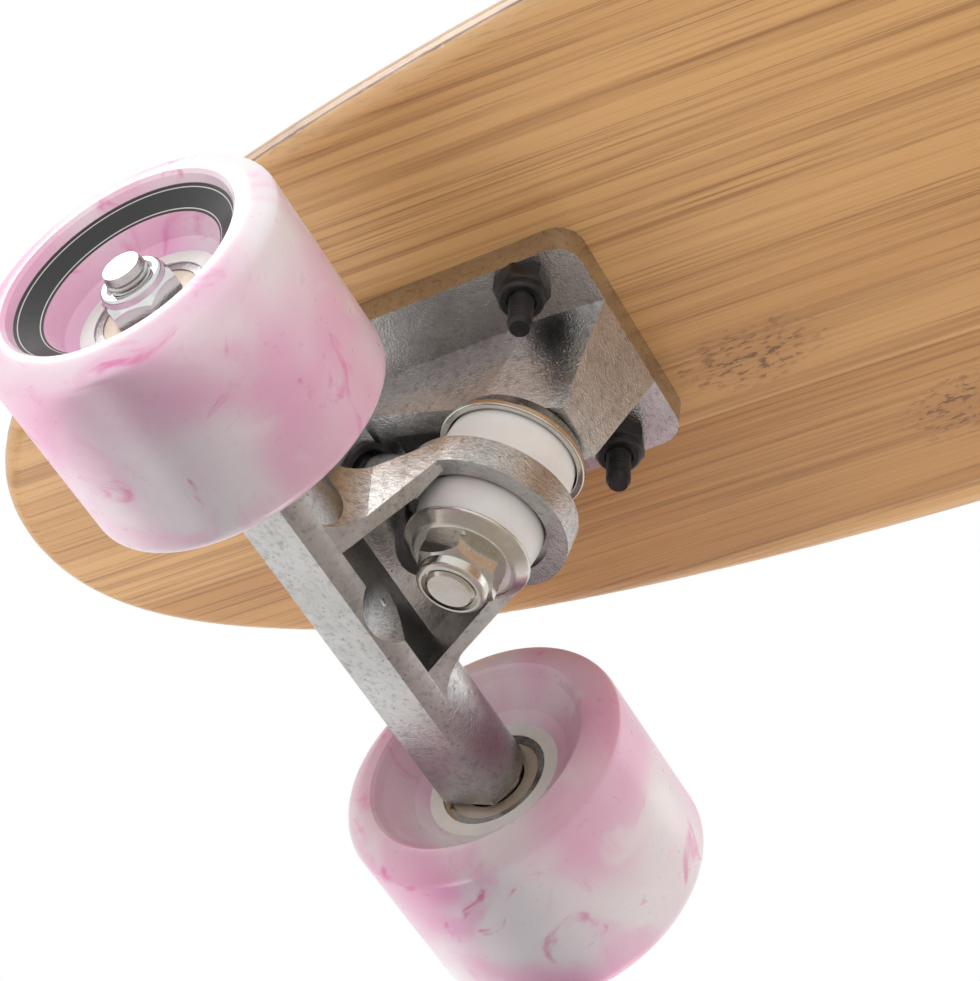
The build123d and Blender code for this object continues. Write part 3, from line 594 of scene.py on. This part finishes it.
# top and bottom along the kingpin, then the radii at the top, the middle and the bottom
BUSHINGS = {
    "boardside": (0.0270, 0.0430, (0.0120, 0.0128, 0.0120)),
    "roadside": (0.0458, 0.0551, (0.0120, 0.0116, 0.0100)),
}
for end, base_x, way in (("front", FRONT_X, 1.0), ("rear", REAR_X, -1.0)):
    foot = Vector((base_x + way * KINGPIN_SETBACK, 0.0, DECK_UNDER))
    down = Vector((-way * sin(LEAN), 0.0, -cos(LEAN)))
    outward = Vector((way * cos(LEAN), 0.0, -sin(LEAN)))
    for which, (top, bottom, radii) in BUSHINGS.items():
        name = f"{end}_{which}_bushing"
        profile = bushing_profile(BUSHING_BORE, top, bottom, radii)
        soft = turned(f"soft_{name}", foot, down, outward, profile)
        soft.data.materials.append(milk.material)
        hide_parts(name)
        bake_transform(soft)
        print(f"{name}: {len(soft.data.vertices)} points, {bottom - top:.4f} m tall")

# %% [markdown]
# ## Floor
#
# A pale sheet under the board. The camera is under it, so the sheet is clear from behind: the
# Backfacing output swaps the pale shader for a transparent one. Leaving the floor out would
# also clear the view, but then the board would hang in the air when it is seen from above.


# %% Floor
def floor():
    """A pale square, 12 m a side, that can only be seen from above."""
    mesh = bpy.data.meshes.new("floor")
    mesh.from_pydata([(-6, -6, 0), (6, -6, 0), (6, 6, 0), (-6, 6, 0)], [], [(0, 1, 2, 3)])
    sheet = bpy.data.objects.new("floor", mesh)
    bpy.context.collection.objects.link(sheet)
    p = Paint("pale_floor", base_color=(0.82, 0.82, 0.81, 1.0), roughness=0.7)
    behind = p.node("ShaderNodeNewGeometry", "Backfacing")
    clear = p.node("ShaderNodeBsdfTransparent", "BSDF")
    pale = S(p, p.surface.outputs["BSDF"])
    sockets = {"Fac": behind, "Shader": pale, "Shader_001": clear}
    seen = p.node("ShaderNodeMixShader", "Shader", sockets=sockets)
    p.feed(p.tree.nodes["Material Output"].inputs["Surface"], seen)
    mesh.materials.append(p.material)
    sheet.visible_shadow = False
    return sheet


floor()
print("floor at height zero")

# %% [markdown]
# ## Camera
#
# The board is looked at from below and from its left, with a long lens, so that the near
# wheel is not swollen. The camera is placed by its own three directions, because a target to
# look at would leave its roll open.


# %% Camera
def camera():
    """Under the board, off to the left, looking up at the front truck."""
    right = Vector((0.88546, 0.46244, 0.04593))
    forward = Vector((-0.33139, 0.55906, 0.76002)).normalized()
    up = right.cross(forward).normalized()
    right = forward.cross(up)
    lens = bpy.data.cameras.new("camera")
    lens.sensor_width = 36.0
    lens.lens = 111.2
    lens.clip_start = 0.01
    lens.clip_end = 50.0
    seen = bpy.data.objects.new("camera", lens)
    bpy.context.collection.objects.link(seen)
    turn = Matrix((right, up, -forward)).transposed().to_4x4()
    seen.matrix_world = Matrix.Translation((0.00953, -0.31375, -0.37752)) @ turn
    bpy.context.scene.camera = seen
    print(f"camera lens {lens.lens:.1f} mm, {-seen.location.z:.3f} m under the floor")


camera()

# %% [markdown]
# ## Lights
#
# The key light is low and to one side, a larger and weaker one fills the shadows, and a third
# catches the far edges. Two more light the top for the other views. Round area lights keep
# their reflections on the metal soft, and a white world does what a light tent does.


# %% Lights
def light(name, place, aim, size, power, colour=(1.0, 1.0, 1.0)):
    """A round area light at a place, turned to face its aim."""
    lamp = bpy.data.lights.new(name, "AREA")
    lamp.shape = "DISK"
    lamp.size = size
    lamp.energy = power
    lamp.color = colour
    stand = bpy.data.objects.new(name, lamp)
    bpy.context.collection.objects.link(stand)
    stand.location = place
    stand.rotation_mode = "QUATERNION"
    stand.rotation_quaternion = (Vector(aim) - Vector(place)).to_track_quat("-Z", "Y")


truck = (FRONT_X, 0.0, 0.05)
board = (0, 0, 0.08)
light("key_below", (-0.95, 0.35, -1.0), truck, 0.6, 4.0)
light("fill_below", (0.7, -0.9, -0.7), truck, 1.0, 2.0, (1.0, 0.98, 0.95))
light("rim_below", (-0.1, 1.2, -0.35), truck, 0.4, 2.5)
light("key_above", (-0.7, -0.9, 1.3), board, 0.8, 9.0)
light("fill_above", (0.9, 0.6, 1.1), board, 1.4, 4.0)

world = bpy.data.worlds.new("studio")
world.use_nodes = True
background = world.node_tree.nodes["Background"].inputs
background["Color"].default_value = (1.0, 1.0, 1.0, 1.0)
background["Strength"].default_value = 1.0
bpy.context.scene.world = world
bpy.context.scene.view_settings.view_transform = "Standard"
print("lights:", *(lamp.name for lamp in bpy.data.lights))
